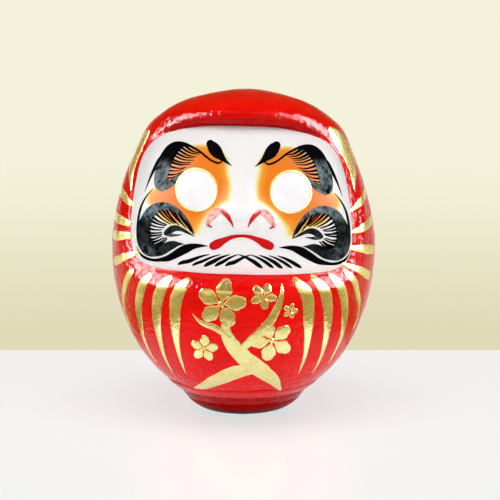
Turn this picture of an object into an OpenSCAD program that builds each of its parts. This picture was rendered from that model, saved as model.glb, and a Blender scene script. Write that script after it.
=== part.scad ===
// Roly-poly daruma doll: a hollow papier-mache body glued on a clay weight, with painted coats.
// +Z is up, the face looks along -Y, and the origin is the centre of the foot it stands on.

/* [Body] */
// Height of the doll from its foot to its crown
body_h = 149; // [110:1:200]
// Thickness of the papier-mache wall
wall_t = 2.5; // [2:0.1:3]
// Width of the slit in the back where the dried shell was taken off its mould
slit_w = 0.8; // [0.5:0.1:1.5]

/* [Clay weight] */
// Radius of the hole for the stick that held the doll while it was dipped
stick_r = 4; // [2.5:0.5:5]
// Height of the spigot that stands up inside the shell
spigot_h = 6.6; // [5:0.2:10]
// Gap around the spigot, filled by glue
spigot_gap = 0.4; // [0.2:0.1:1]

/* [Paper strips] */
// Thickness of the paper strips pasted over the joints
strip_t = 0.4; // [0.3:0.1:0.6]
// Width of the strip down the back
strip_w = 14; // [10:1:20]

/* [Paint] */
// Thickness of each coat of paint
coat_t = 0.3; // [0.2:0.05:0.5]

/* [Hidden] */
// Every outline below is drawn for a doll 149 mm high, and u brings it to the size asked for.
u = body_h / 149;
body_r = 61 * u;
ledge_z = 11.4 * u;
far = 90 * u;
$fn = 72;

// Side view of the body: arcs from the crown to the base, each tangent to the last, as [radius, turn].
crown_arc = [74 * u, 20];
shoulder_arc = [38 * u, 36];
flank_turn = 90 - crown_arc[1] - shoulder_arc[1];
shoulder_end = crown_arc[1] + shoulder_arc[1];
crown_reach = crown_arc[0] * sin(crown_arc[1]);
shoulder_reach = shoulder_arc[0] * (sin(shoulder_end) - sin(crown_arc[1]));
flank_r = (body_r - crown_reach - shoulder_reach) / (1 - sin(shoulder_end));
belly_arc = [86 * u, 26];
hip_arc = [63 * u, 30];
body_arcs = [crown_arc, shoulder_arc, [flank_r, flank_turn], belly_arc, hip_arc];
arc_step = 3.25;

// Foot and bowl of the clay weight
foot_r = 13.8 * u;
bowl_r = 16.6 * u;
bowl_turn = acos(1 - ledge_z / bowl_r);

// Hollow of the face: a ball is the floor of the recess, deepest under the hood
floor_r = 70 * u;
floor_y = 15 * u;
floor_z = 81.5 * u;
lip = 2.6 * u;
face_mid_z = 100 * u;

// Places on the face
eye_x = 20.2 * u;
eye_z = 105.8 * u;
eye_r = 8.4 * u;
rim_w = 0.8 * u;
nose = [[0, -50 * u, 97 * u], 9 * u];
nostril = [[8.8 * u, -49.2 * u, 93.8 * u], 6.6 * u];

left = -1;
right = 1;

// Half of the face outline, from the middle of the hood down to the middle of the chin
face_side = [
    [0, 133.3], [16, 132.9], [30, 130.4], [40, 125.4], [45.6, 117], [48.4, 104], [49.4, 91],
    [48.8, 80.5], [45.2, 73.8], [37, 71.2], [20, 70.6], [0, 70.6]
];

// Brush strokes on the face for its right-hand side, as [x, z, half width]
brow_drop = [[14.2, 125.6, 1.8], [12.6, 123.6, 2.8], [10.6, 121.2, 2.2], [8.6, 119.2, 0.9], [5, 117.1, 0.15]];
brow_curl = [
    [9.2, 119.3, 0.3], [13, 118.9, 0.4], [17.5, 121.7, 0.45], [21.5, 124.1, 0.6], [26, 124.4, 1.2],
    [30.5, 123.2, 2.4], [33.9, 120.2, 2.9], [36, 116.2, 2.8], [36.7, 112.2, 2.8], [36, 108.4, 2.5]
];
whisker_crescent = [
    [20.9, 88.1, 0.15], [24.3, 92.6, 0.6], [27.5, 96.2, 1.2], [31, 98.2, 1.7], [35, 98.2, 2.2],
    [38.9, 95.6, 2.9], [41.6, 91.8, 3], [43.2, 87.2, 3.4], [42.8, 82.2, 3.6], [39.6, 79.4, 3.2],
    [35.6, 80.3, 2.8], [31.4, 82.2, 1.9], [28.4, 83.3, 0.9], [25.6, 83.9, 0.15]
];
whisker_seed = [[21.5, 86.9, 0.15], [25.5, 88.1, 0.9], [29.5, 88.7, 1.6], [33.2, 88.2, 1.8]];
wave = [
    [15.3, 82.6, 0.15], [19, 82.2, 0.7], [22.9, 81.3, 1.5], [26.6, 79.9, 2], [30.4, 77.6, 1.7],
    [34.4, 75.9, 0.9], [38.4, 74.7, 0.6], [42, 75, 0.5], [46, 77.9, 0.15]
];
lips = [
    [0, 87.4, 0.6], [4, 86.9, 0.8], [7, 85.6, 1.3], [10.2, 83.9, 2], [12.4, 82.8, 1.5]
];
nostril_line = [
    [2.6, 92, 0.2], [3.6, 94.6, 0.8], [5.6, 97.4, 1], [8.4, 98.5, 1], [11.4, 97, 0.9],
    [13.6, 94, 0.7], [14.8, 91, 0.3]
];

// Gold strokes on the body for its right-hand side, as [azimuth from the face, z, half width]
robe_lines = [
    [[23, 68, 0.3], [27, 60, 2.1], [30, 50, 2.9], [33, 38, 2.4], [35.5, 23, 0.2]],
    [[31.5, 68.3, 0.3], [36, 60, 2.1], [40.5, 50, 2.9], [44, 38, 2.4], [47.5, 23, 0.2]],
    [[41.5, 68.5, 0.3], [47, 60, 2.1], [51.5, 50, 2.9], [55, 39, 2.4], [58, 26, 0.2]],
    [[50.5, 69.5, 0.3], [56, 64, 1.9], [61, 57.5, 2.6], [66.5, 50, 2], [71, 43, 0.2]]
];
hood_lines = [
    [[66, 131.5, 0.6], [65, 125.5, 2.4], [64, 118, 2.4], [62, 110, 1.4], [60, 104.5, 0.3]],
    [[56, 96, 0.3], [62, 98.8, 1.3], [69, 101.2, 2], [76, 103, 2]],
    [[55, 88.5, 0.3], [62, 89.4, 1.4], [69, 90.3, 2.1], [76, 91, 2.1]],
    [[53, 81.5, 0.3], [60, 80.6, 1.5], [67, 79.6, 2.2], [74, 78.6, 2.2]],
    [[50, 76, 0.3], [57, 73, 1.5], [64, 70.4, 2.2], [71, 68.3, 2.2]]
];

// Plum spray on the front of the body: boughs as [azimuth, z, half width], flowers as [x, z, radius]
boughs = [
    [[29.5, 15.5, 0.5], [19.5, 22, 2.9], [8, 28.5, 3.8], [-2, 35.5, 3.5], [-7.5, 44, 2.6], [-7.5, 52, 1.4],
        [-5.5, 58, 0.3]],
    [[8, 28, 1.8], [-4, 26, 3.4], [-18, 21.5, 3.1], [-31, 17, 1.9], [-42, 15, 0.3]],
    [[-3.5, 36.5, 1.2], [4.5, 42.5, 2.1], [11, 50, 2], [14.5, 59, 1.4], [16, 67, 0.3]],
    [[-6.5, 43, 1], [-12.5, 47.5, 1.4], [-18, 49.5, 1], [-22, 53.5, 0.3]]
];
flowers = [[-9.5, 58.5, 10.5], [12.5, 41.5, 9.5], [8.5, 62, 5.6], [-17.5, 37.5, 6.2], [20.5, 55, 3.4]];

// A smooth curve through a list of points, with some steps between each pair
curve_steps = 3;
function bend(a, b, c, d, t) =
    0.5 * (2 * b + (c - a) * t + (2 * a - 5 * b + 4 * c - d) * t * t + (3 * b - a - 3 * c + d) * t * t * t);
function curve(p) = concat(
    [for (i = [0 : len(p) - 2]) for (k = [0 : curve_steps - 1])
        bend(p[max(i - 1, 0)], p[i], p[i + 1], p[min(i + 2, len(p) - 1)], k / curve_steps)],
    [p[len(p) - 1]]
);

// The outline of a brush stroke: both edges of its curve, with a round end where the stroke is broad
function way(q, i) =
    let (d = q[min(i + 1, len(q) - 1)] - q[max(i - 1, 0)]) [d[0], d[1]] / norm([d[0], d[1]]);
function edge_point(q, i, s) =
    let (w = way(q, i)) [q[i][0] - s * w[1] * q[i][2], q[i][1] + s * w[0] * q[i][2]];
function round_end(q, i, s) =
    let (w = way(q, i), turn = atan2(w[1], w[0]))
    q[i][2] < 0.5 ? [] : [for (a = [60 : -30 : -60])
        [q[i][0], q[i][1]] + q[i][2] * [cos(turn + s * a), sin(turn + s * a)] * s];
function stroke_outline(p) = let (q = curve(p), n = len(q)) concat(
    [for (i = [0 : n - 1]) edge_point(q, i, 1)],
    round_end(q, n - 1, 1),
    [for (i = [n - 1 : -1 : 0]) edge_point(q, i, -1)],
    [for (e = [round_end(q, 0, -1)]) for (i = [len(e) - 1 : -1 : 0]) e[i]]
);
function scaled(p) = [for (a = p) [a[0] * u, a[1] * u]];
function flipped(p, side) = [for (a = p) [a[0] * side, a[1], a[2]]];

// Side view of the body, k outside its surface, from the pole down to the ledge
function arc_end(p, arc, a, b, k) =
    [p[0] + (arc[0] + k) * (sin(b) - sin(a)), p[1] - (arc[0] + k) * (cos(a) - cos(b))];
function arc_points(p, arc, a, k) =
    [for (i = [1 : ceil(arc[1] / arc_step)])
        arc_end(p, arc, a, a + arc[1] * i / ceil(arc[1] / arc_step), k)];
function chain(p, a, i, k) = i == len(body_arcs) ? [] : concat(
    arc_points(p, body_arcs[i], a, k),
    chain(arc_end(p, body_arcs[i], a, a + body_arcs[i][1], k), a + body_arcs[i][1], i + 1, k)
);
function turn_sum(i) = i < 0 ? 0 : body_arcs[i][1] + turn_sum(i - 1);
last_slope = tan(turn_sum(len(body_arcs) - 1) - 90);
function to_ledge(p) = [p[0] - (p[1] - ledge_z) * last_slope, ledge_z];
function side_view(k) = let (c = chain([0, body_h + k], 0, 0, k)) concat(
    [[0, body_h + k]], c, [to_ledge(c[len(c) - 1])]
);
radius_table = [for (p = side_view(0)) [p[1], p[0]]];
function radius_at(z) = lookup(z, radius_table);

// The round body, k outside its surface
module body(k) {
    edge = side_view(k);
    foot = k < 0 ? ledge_z - 1 : ledge_z;
    rotate_extrude() polygon(concat(edge, [[edge[len(edge) - 1][0], foot - 0.01], [0, foot - 0.01]]));
}

// A point on the bowl of the clay weight in side view, a part of the way up it, k outside its surface
bowl_steps = 8;
function bowl_point(i, k) = let (a = bowl_turn * i / bowl_steps)
    [foot_r + (bowl_r + k) * sin(a), bowl_r - (bowl_r + k) * cos(a)];

// The strip over the joint in side view: up the bowl, under the ledge, and a little way up the shell
function strip_view() = let (inner = side_view(0), outer = side_view(strip_t), n = len(inner)) concat(
    [for (i = [n - 3 : n - 1]) inner[i]],
    [for (i = [bowl_steps : -1 : bowl_steps - 2]) bowl_point(i, 0)],
    [for (i = [bowl_steps - 2, bowl_steps - 1]) bowl_point(i, strip_t)],
    [[bowl_point(bowl_steps, strip_t)[0], ledge_z - strip_t], [outer[n - 1][0], ledge_z - strip_t]],
    [outer[n - 2], outer[n - 3]]
);

// The face outline, g outside its edge
function face_outline(g) = let (half = curve(face_side), n = len(half), k = [1 + g / (49 * u), 1 + g / (31 * u)])
    [for (i = [0 : 2 * n - 3]) let (p = i < n ? half[i] : [-half[2 * n - 2 - i][0], half[2 * n - 2 - i][1]])
        [p[0] * u * k[0], face_mid_z + (p[1] * u - face_mid_z) * k[1]]];

// A straight bar that runs forward from the doll's axis, with the outline given in x and z
module forward_bar(outline) rotate([90, 0, 0]) linear_extrude(far) polygon(outline);

// The ball that is the floor of the face recess, k outside its surface
module floor_ball(k) translate([0, floor_y, floor_z]) sphere(r = floor_r + k, $fn = 96);

// The nose and its wings that stand out of the floor, k outside their surface
module nose_ball(k) translate(nose[0]) sphere(r = nose[1] + k);
module nostril_ball(side, k) translate([side * nostril[0][0], nostril[0][1], nostril[0][2]])
    sphere(r = nostril[1] + k);
module face_solid(k) {
    floor_ball(k);
    nose_ball(k);
    nostril_ball(left, k);
    nostril_ball(right, k);
}

// The whole form with its face recess, k outside its surface
module form(k) {
    difference() {
        body(k);
        difference() {
            forward_bar(face_outline(lip - k));
            face_solid(k);
        }
    }
}

// A coat of paint on the face, between two heights, where the children's bars pass through it
module face_paint(low, high) {
    difference() {
        intersection() {
            face_solid(high);
            children();
        }
        face_solid(low);
    }
}

// Ink on the face coat, away from the nose
module ink() {
    difference() {
        intersection() {
            floor_ball(2 * coat_t);
            children();
        }
        floor_ball(coat_t);
    }
}

// A coat of paint on the body, where the children's bars pass through it
module body_paint() {
    difference() {
        intersection() {
            body(coat_t);
            children();
        }
        body(0);
    }
}

// Bars for strokes: on the face as drawn, and on the body turned to where the stroke lies
module face_bar(stroke, side) forward_bar(scaled(stroke_outline(flipped(stroke, side))));
module body_bar(stroke, side) {
    mid = side * stroke[floor(len(stroke) / 2)][0];
    flat = [for (p = stroke) [radius_at(p[1] * u) / u * sin(side * p[0] - mid), p[1], p[2]]];
    rotate([0, 0, mid]) forward_bar(scaled(stroke_outline(flat)));
}
module round_bar(x, z, r) translate([x, 0, z]) rotate([90, 0, 0]) cylinder(r = r, h = far);

// The moulded paper shell, open at the bottom, with its release slit down the back
module paper_shell() color("firebrick") difference() {
    form(0);
    form(-wall_t);
    translate([-slit_w / 2, 0, 22 * u]) cube([slit_w, far, 112 * u]);
}

// The paper strip pasted over the slit
module back_seam_strip() color("crimson") difference() {
    intersection() {
        body(strip_t);
        translate([-strip_w / 2, 0, 18 * u]) cube([strip_w, far, 120 * u]);
    }
    body(0);
}

// The clay weight: a bowl that rocks upright, with a spigot inside the shell and the stick hole
module base_weight() color("peru") {
    opening_r = side_view(-wall_t)[len(side_view(-wall_t)) - 1][0];
    difference() {
        union() {
            rotate_extrude() polygon(concat(
                [[0, 0]], [for (i = [0 : bowl_steps]) bowl_point(i, 0)], [[0, ledge_z]]
            ));
            translate([0, 0, ledge_z / 2]) cylinder(r = opening_r - spigot_gap, h = ledge_z / 2 + spigot_h);
        }
        translate([0, 0, -1]) cylinder(r = stick_r, h = ledge_z + spigot_h + 2);
    }
}

// The paper strip pasted over the joint of the shell and the weight: the ledge above the base
module base_seam_strip() color("crimson") rotate_extrude() polygon(strip_view());

module face_coat() color("ivory") face_paint(0, coat_t) forward_bar(face_outline(0));

module eye_disc(side) color("white") ink() round_bar(side * eye_x, eye_z, eye_r);

module eye_rim(side) color("gold") ink() difference() {
    round_bar(side * eye_x, eye_z, eye_r + rim_w);
    round_bar(side * eye_x, eye_z, eye_r);
}

module brow(side) color("black") ink() {
    face_bar(brow_drop, side);
    face_bar(brow_curl, side);
}

module whisker(side) color("black") ink() {
    face_bar(whisker_crescent, side);
    face_bar(whisker_seed, side);
}

module beard_wave(side) color("black") ink() face_bar(wave, side);

// The short strokes on the chin, which fan out from its middle
module beard_strokes() color("black") ink() for (side = [left, right]) for (i = [0 : 4])
    face_bar([[3 + 3.2 * i, 79.4, 0.15], [5.2 + 3.8 * i, 77.2, 0.5], [8.3 + 4.5 * i, 74, 0.75]], side);

module mouth_line() color("red") ink() {
    mirrored = [for (i = [len(lips) - 1 : -1 : 1]) [-lips[i][0], lips[i][1], lips[i][2]]];
    face_bar(concat(mirrored, lips), right);
}

// The red lines over the wings of the nose
module nose_lines() color("red") for (side = [left, right]) difference() {
    intersection() {
        nostril_ball(side, 2 * coat_t);
        face_bar(nostril_line, side);
    }
    face_solid(coat_t);
}

module robe_lines_on(side) color("goldenrod") body_paint() for (s = robe_lines) body_bar(s, side);

module hood_lines_on(side) color("goldenrod") body_paint() for (s = hood_lines) body_bar(s, side);

// The gold spray: four boughs, and flowers of five round petals
module front_ornament() color("goldenrod") body_paint() {
    for (s = boughs) body_bar(s, right);
    for (f = flowers) for (i = [0 : 4]) {
        reach = f[2] * 0.56;
        round_bar((f[0] + reach * sin(72 * i)) * u, (f[1] + reach * cos(72 * i)) * u, f[2] * 0.42 * u);
    }
}

paper_shell();
back_seam_strip();
base_weight();
base_seam_strip();
face_coat();
eye_disc(left);  // eye_disc_left
eye_disc(right);  // eye_disc_right
eye_rim(left);  // eye_rim_left
eye_rim(right);  // eye_rim_right
brow(left);  // brow_left
brow(right);  // brow_right
whisker(left);  // whisker_left
whisker(right);  // whisker_right
beard_wave(left);  // beard_wave_left
beard_wave(right);  // beard_wave_right
beard_strokes();
mouth_line();
nose_lines();
robe_lines_on(left);  // robe_lines_left
robe_lines_on(right);  // robe_lines_right
hood_lines_on(left);  // hood_lines_left
hood_lines_on(right);  // hood_lines_right
front_ornament();
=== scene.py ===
# Looks of a roly-poly daruma doll: red lacquered papier-mache with a painted face and gold strokes.
# All outlines are drawn in millimetres for a doll 149 mm high: x to the viewer's right, z up.
# The face looks along -Y, azimuths are measured from the face towards the viewer's right.
import math

import bpy
import numpy as np
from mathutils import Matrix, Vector


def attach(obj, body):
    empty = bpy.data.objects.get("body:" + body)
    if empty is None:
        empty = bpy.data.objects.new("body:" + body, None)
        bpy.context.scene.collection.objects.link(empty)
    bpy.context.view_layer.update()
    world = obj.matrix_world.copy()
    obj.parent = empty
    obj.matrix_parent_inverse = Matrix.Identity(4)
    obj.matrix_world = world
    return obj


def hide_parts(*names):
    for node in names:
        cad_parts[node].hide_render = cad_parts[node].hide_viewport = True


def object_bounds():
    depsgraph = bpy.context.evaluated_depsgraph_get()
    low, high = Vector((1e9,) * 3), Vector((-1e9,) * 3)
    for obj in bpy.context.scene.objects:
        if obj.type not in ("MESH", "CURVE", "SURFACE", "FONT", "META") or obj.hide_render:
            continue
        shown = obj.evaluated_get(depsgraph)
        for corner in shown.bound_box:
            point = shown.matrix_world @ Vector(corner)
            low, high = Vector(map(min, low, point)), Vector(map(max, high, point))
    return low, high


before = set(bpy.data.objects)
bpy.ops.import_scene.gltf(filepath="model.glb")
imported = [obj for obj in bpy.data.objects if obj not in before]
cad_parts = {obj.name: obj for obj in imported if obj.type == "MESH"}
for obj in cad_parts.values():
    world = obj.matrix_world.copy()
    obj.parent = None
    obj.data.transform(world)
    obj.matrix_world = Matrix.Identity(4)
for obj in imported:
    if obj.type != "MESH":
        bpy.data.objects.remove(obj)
cad_low, cad_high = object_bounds()

DRAWN_HEIGHT = 149.0
MM = (cad_high.z - cad_low.z) / DRAWN_HEIGHT
SIDES = {"left": -1, "right": 1}


# ---- curves and noise

def smooth_step(t):
    t = np.clip(t, 0.0, 1.0)
    return t * t * (3 - 2 * t)


def spline(points, steps=8, closed=False):
    """A smooth curve through a list of points, with some steps between each pair."""
    p = np.asarray(points, float)
    n = len(p)
    spans = n if closed else n - 1
    out = []
    for i in range(spans):
        if closed:
            a, b, c, d = (p[(i + k) % n] for k in (-1, 0, 1, 2))
        else:
            a, b, c, d = p[max(i - 1, 0)], p[i], p[i + 1], p[min(i + 2, n - 1)]
        t = (np.arange(steps) / steps)[:, None]
        bend = 2 * b + (c - a) * t + (2 * a - 5 * b + 4 * c - d) * t ** 2
        out.append(0.5 * (bend + (3 * b - a - 3 * c + d) * t ** 3))
    if not closed:
        out.append(p[-1:])
    return np.concatenate(out)


def distance_along(points):
    """How far along a line of points each of them is."""
    return np.concatenate([[0], np.cumsum(np.linalg.norm(np.diff(points, axis=0), axis=1))])


def resample(points, run, at):
    """The points of a line that are some distances along it."""
    return np.stack([np.interp(at, run, column) for column in points.T], axis=1)


def even(points, step):
    """The same open curve with its points about a step apart."""
    run = distance_along(points[:, :2])
    count = max(int(round(run[-1] / step)), 2)
    return resample(points, run, np.linspace(0, run[-1], count + 1))


def noise(points, size, seed):
    """Smooth noise from -1 to 1 at some points, in cells of a size."""
    q = np.asarray(points, float) / size + 31.7 * seed
    cell = np.floor(q).astype(np.int64)
    part = q - cell
    part = part * part * (3 - 2 * part)
    total = np.zeros(len(q))
    for corner in range(8):
        step = np.array([corner & 1, corner >> 1 & 1, corner >> 2 & 1])
        # A scrambled value for each corner of each cell
        c = cell + step
        mixed = c[:, 0] * 73856093 ^ c[:, 1] * 19349663 ^ c[:, 2] * 83492791 ^ seed * 2654435
        mixed = (mixed ^ mixed >> 13) * 1274126177 & 0xFFFFFFFF
        mixed = (mixed ^ mixed >> 15) * 73244475 & 0xFFFFFFFF
        value = (mixed >> 8 & 0xFFFF) / 32767.5 - 1
        total += value * np.prod(np.where(step, part, 1 - part), axis=1)
    return total


def line_noise(t, size, seed):
    """Smooth noise along a line."""
    t = np.asarray(t, float)
    return noise(np.stack([t, 0 * t + 3.3, 0 * t + 7.7], axis=1), size, seed)


def even_grid(start, step, count):
    return np.meshgrid(*(start[k] + step[k] * np.arange(count[k]) for k in (0, 1)), indexing="ij")


def look_up(grid, start, step, u, v):
    """Values between the points of an even grid."""
    a = np.clip((u - start[0]) / step[0], 0, grid.shape[0] - 1.001)
    b = np.clip((v - start[1]) / step[1], 0, grid.shape[1] - 1.001)
    i, j = a.astype(int), b.astype(int)
    a, b = a - i, b - j
    low = grid[i, j] * (1 - a) + grid[i + 1, j] * a
    high = grid[i, j + 1] * (1 - a) + grid[i + 1, j + 1] * a
    return low * (1 - b) + high * b


# ---- the form of the doll

# Side view of the body: arcs from the crown down, each tangent to the last, as (radius, turn)
BODY_ARCS = ((74.0, 20), (38.0, 36), (100.51, 34), (86.0, 26), (63.0, 30))
LEDGE_Z = 11.4
WALL = 2.5


def side_view():
    """Distance along the body's side view from the crown, radius, height and lean of the surface."""
    rows = []
    r, z, lean = 0.0, DRAWN_HEIGHT, 0.0
    for radius, turn in BODY_ARCS:
        a = lean + np.linspace(0, math.radians(turn), turn * 5, endpoint=False)
        rows.append(np.stack([
            r + radius * (np.sin(a) - math.sin(lean)), z - radius * (math.cos(lean) - np.cos(a)), a
        ], axis=1))
        end = lean + math.radians(turn)
        r += radius * (math.sin(end) - math.sin(lean))
        z -= radius * (math.cos(lean) - math.cos(end))
        lean = end
    reach = (z - LEDGE_Z) / -math.tan(lean)
    rows.append(np.array([[r, z, lean], [r - reach, LEDGE_Z, lean]]))
    path = np.concatenate(rows)
    run = distance_along(path[:, :2])
    return run, path[:, 0], path[:, 1], path[:, 2]


RUN, PATH_R, PATH_Z, PATH_LEAN = side_view()
LEDGE_R = PATH_R[-1]


def body_radius(z):
    return np.interp(z, PATH_Z[::-1], PATH_R[::-1])


# The floor of the face recess is part of a ball
BALL_R = 70.0
BALL_Y = 15.0
BALL_Z = 81.5
LEAST_RECESS = 1.0


def floor_radius(azimuth, z):
    ahead = BALL_Y * np.cos(azimuth)
    inside = np.clip(ahead ** 2 - BALL_Y ** 2 - (z - BALL_Z) ** 2 + BALL_R ** 2, 1, None)
    ball = np.sqrt(inside) - ahead
    most = body_radius(z) - LEAST_RECESS
    blend = 1.5
    k = np.clip(0.5 + 0.5 * (most - ball) / blend, 0, 1)
    return most * (1 - k) + ball * k - blend * k * (1 - k)


# Half of the outline of the white face, from the middle of the hood to the middle of the chin
FACE_SIDE = (
    (0, 133.4), (16, 132.9), (29, 130.4), (38.6, 126), (44.6, 117.6), (47.6, 104), (48.9, 91),
    (48.6, 80.5), (45.6, 74.2), (38, 71.3), (20, 70.5), (0, 70.4)
)
FACE_SHIFT = -1.0
FACE_TILT = -0.022
FACE_MIDDLE = (0.0, 100.0)


def on_tilt(points):
    """The face is painted a little to one side and a little askew."""
    p = np.array(points, float)
    p[:, 1] += FACE_TILT * p[:, 0]
    return p


def face_outline():
    half = spline(FACE_SIDE, 9)
    whole = np.concatenate([half, half[-2:0:-1] * (-1, 1)])
    whole[:, 0] += FACE_SHIFT
    return on_tilt(whole)


OUTLINE = face_outline()
GAP_START = (-84.0, 40.0)
GAP_STEP = (0.5, 0.5)
GAP_COUNT = (337, 221)


def gap_grid():
    """How far each point of a grid is outside the face outline; less than 0 inside it."""
    x, z = even_grid(GAP_START, GAP_STEP, GAP_COUNT)
    nearest = np.full(x.shape, 1e9)
    for a, b in zip(OUTLINE, np.roll(OUTLINE, -1, axis=0)):
        along = b - a
        t = np.clip(((x - a[0]) * along[0] + (z - a[1]) * along[1]) / (along @ along), 0, 1)
        nearest = np.minimum(nearest, np.hypot(x - a[0] - t * along[0], z - a[1] - t * along[1]))
    spokes = OUTLINE - FACE_MIDDLE
    bearing = np.arctan2(spokes[:, 1], spokes[:, 0])
    reach = np.hypot(spokes[:, 0], spokes[:, 1])
    order = np.argsort(bearing)
    here = np.arctan2(z - FACE_MIDDLE[1], x - FACE_MIDDLE[0])
    edge = np.interp(here.ravel(), bearing[order], reach[order], period=2 * math.pi).reshape(x.shape)
    inside = np.hypot(x - FACE_MIDDLE[0], z - FACE_MIDDLE[1]) < edge
    return np.where(inside, -nearest, nearest)


GAP = gap_grid()


def face_gap(x, z):
    return look_up(GAP, GAP_START, GAP_STEP, x, z)


NOSE_X = -1.0
NOSE_TIP_Z = 95.5
NOSE_RISE = 6.4
EYE_X = 20.2
EYE_Z = 105.8
EYE_R = 8.4

# Rounded rises of the face as (x, z, half width, half height, height)
NOSE_WING = (9, 94.2, 5.2, 4.6, 4.2)
EYE_BROW_AND_CHEEK = ((EYE_X, EYE_Z, 11, 11, 0.5), (24, 122.5, 15, 5, 1.0), (33, 86, 10, 9, 1.1))
LIPS_AND_CHIN = ((NOSE_X, 84.5, 15, 5.2, 2.3), (0, 77, 19, 5, 0.8))


def hill(x, z, at_x, at_z, wide, tall, height):
    return height * np.exp(-((x - at_x) / wide) ** 2 - ((z - at_z) / tall) ** 2)


def face_relief(x, z):
    """Nose, eyes, brows, cheeks, lips and chin, raised on the floor of the face."""
    z = z - FACE_TILT * x
    below = np.clip(NOSE_TIP_Z - z, 0, None)
    above = np.clip(z - NOSE_TIP_Z, 0, None)
    width = 5.2 + 3.6 * np.exp(-(above / 9) ** 2)
    rise = NOSE_RISE * np.exp(-(above / 15) ** 2 - (below / 4.6) ** 2)
    rise = rise * np.exp(-((x - NOSE_X) / width) ** 2)
    wing_x, *wing = NOSE_WING
    for side in SIDES.values():
        rise = np.maximum(rise, hill(x, z, NOSE_X + side * wing_x, *wing))
        for at_x, *form in EYE_BROW_AND_CHEEK:
            rise = rise + hill(x, z, side * at_x, *form)
    for form in LIPS_AND_CHIN:
        rise = rise + hill(x, z, *form)
    return rise


def about_axis(azimuth, r, z):
    return np.stack([r * np.sin(azimuth), -r * np.cos(azimuth), z], axis=-1)


def lumps(azimuth, r, z, calm):
    """Unevenness of the hand-pasted paper: calm is 1 on the face and 0 on the body."""
    at = about_axis(azimuth, r, z).reshape(-1, 3)
    broad = 0.42 * noise(at, 19.0, 1)
    middle = 0.17 * noise(at, 7.0, 2)
    small = 0.07 * noise(at * (1, 1, 1.3), 3.0, 3)
    fine = 0.035 * noise(at, 1.7, 4)
    body = (broad + middle + small + fine).reshape(z.shape)
    face = (0.5 * broad + 0.35 * middle + 0.15 * small).reshape(z.shape)
    return body * (1 - calm) + face * calm


SHOULDER_Z = 130.0
SHOULDER_RISE = 1.8


def shoulders(azimuth, z):
    """The hood is a little fuller over the temples."""
    return SHOULDER_RISE * np.exp(-((z - SHOULDER_Z) / 9) ** 2) * np.sin(azimuth) ** 2


# The red rolls out over the edge of the recess, broadly under the hood and the chin
ROLL_SIDE = 5.2
ROLL_HOOD = 7.6
# It is narrow for some way above and below this height, and widens from there
ROLL_Z = 101.0
ROLL_NARROW = 18.0
ROLL_WIDENS = 16.0
# A bead of paper runs along it, at a share of its width, steeper on the inside
BEAD_AT = 0.85
BEAD_RISE = 0.55
BEAD_INSIDE = 0.22
BEAD_OUTSIDE = 0.5
FRONT_TURN = math.radians(88)
FAR_OUTSIDE = 99.0


def skin_radius(azimuth, r, z):
    """Distance of the painted paper from the axis, where the plain body has the radius r."""
    front = np.abs(azimuth) < FRONT_TURN
    floor = np.where(front, floor_radius(azimuth, z), r)
    r = r + shoulders(azimuth, z)
    x = floor * np.sin(azimuth)
    gap = np.where(front, face_gap(x, z), FAR_OUTSIDE)
    widened = smooth_step((np.abs(z - ROLL_Z) - ROLL_NARROW) / ROLL_WIDENS)
    roll = ROLL_SIDE + (ROLL_HOOD - ROLL_SIDE) * widened
    t = np.clip(gap / roll, 0, 1)
    rise = 1 - (1 - t) ** 2.5
    rise = rise * smooth_step(0.35 + t * 4)
    rise = np.where(gap <= 0, 0, rise)
    past = gap / roll - BEAD_AT
    bead = BEAD_RISE * np.exp(-(past / np.where(past < 0, BEAD_INSIDE, BEAD_OUTSIDE)) ** 2) * (gap > 0)
    calm = 1 - smooth_step(gap / 2.0)
    relief = np.where(front, face_relief(x, z), 0) * (1 - smooth_step((gap + 3) / 3))
    return floor * (1 - rise) + r * rise + relief + bead + lumps(azimuth, r, z, calm)


SKIN_START = (-math.pi, 8.0)
SKIN_STEP = (math.radians(0.5), 0.5)
SKIN_COUNT = (721, 277)


def skin_grid():
    azimuth, z = even_grid(SKIN_START, SKIN_STEP, SKIN_COUNT)
    return skin_radius(azimuth, body_radius(np.maximum(z, LEDGE_Z)), z)


SKIN = skin_grid()


def skin_point(azimuth, z):
    azimuth = (azimuth + math.pi) % (2 * math.pi) - math.pi
    return about_axis(azimuth, look_up(SKIN, SKIN_START, SKIN_STEP, azimuth, z), z)


def on_skin(azimuth, z, lift):
    """Points a lift above the painted paper."""
    azimuth, z, lift = np.broadcast_arrays(azimuth, z, lift)
    here = skin_point(azimuth, z)
    turn, climb = math.radians(0.6), 0.6
    across = skin_point(azimuth + turn, z) - skin_point(azimuth - turn, z)
    up = skin_point(azimuth, z + climb) - skin_point(azimuth, z - climb)
    out = np.cross(across, up)
    out /= np.linalg.norm(out, axis=-1, keepdims=True)
    return here + out * np.asarray(lift)[..., None]


def on_face(x, z, lift):
    """Points a lift above the face, where x and z are as seen from the front."""
    x, z, lift = np.broadcast_arrays(x, z, lift)
    # The azimuth and the radius depend on each other, so they are found in a few steps
    azimuth = np.arcsin(np.clip(x / 56, -0.99, 0.99))
    for _ in range(7):
        r = look_up(SKIN, SKIN_START, SKIN_STEP, azimuth, z)
        azimuth = 0.3 * azimuth + 0.7 * np.arcsin(np.clip(x / r, -0.99, 0.99))
    return on_skin(azimuth, z, lift)


COAT = 0.25


def on_coat(x, z, lift):
    """Points a lift above the white coat of the face."""
    return on_face(x, z, lift + COAT)


def body_sheet(middle):
    """A place function for strokes on the body, which are drawn flat about a middle azimuth."""
    def place(x, z, lift):
        return on_skin(middle + x / body_radius(z), z, lift)
    return place


# ---- mesh pieces

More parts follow.
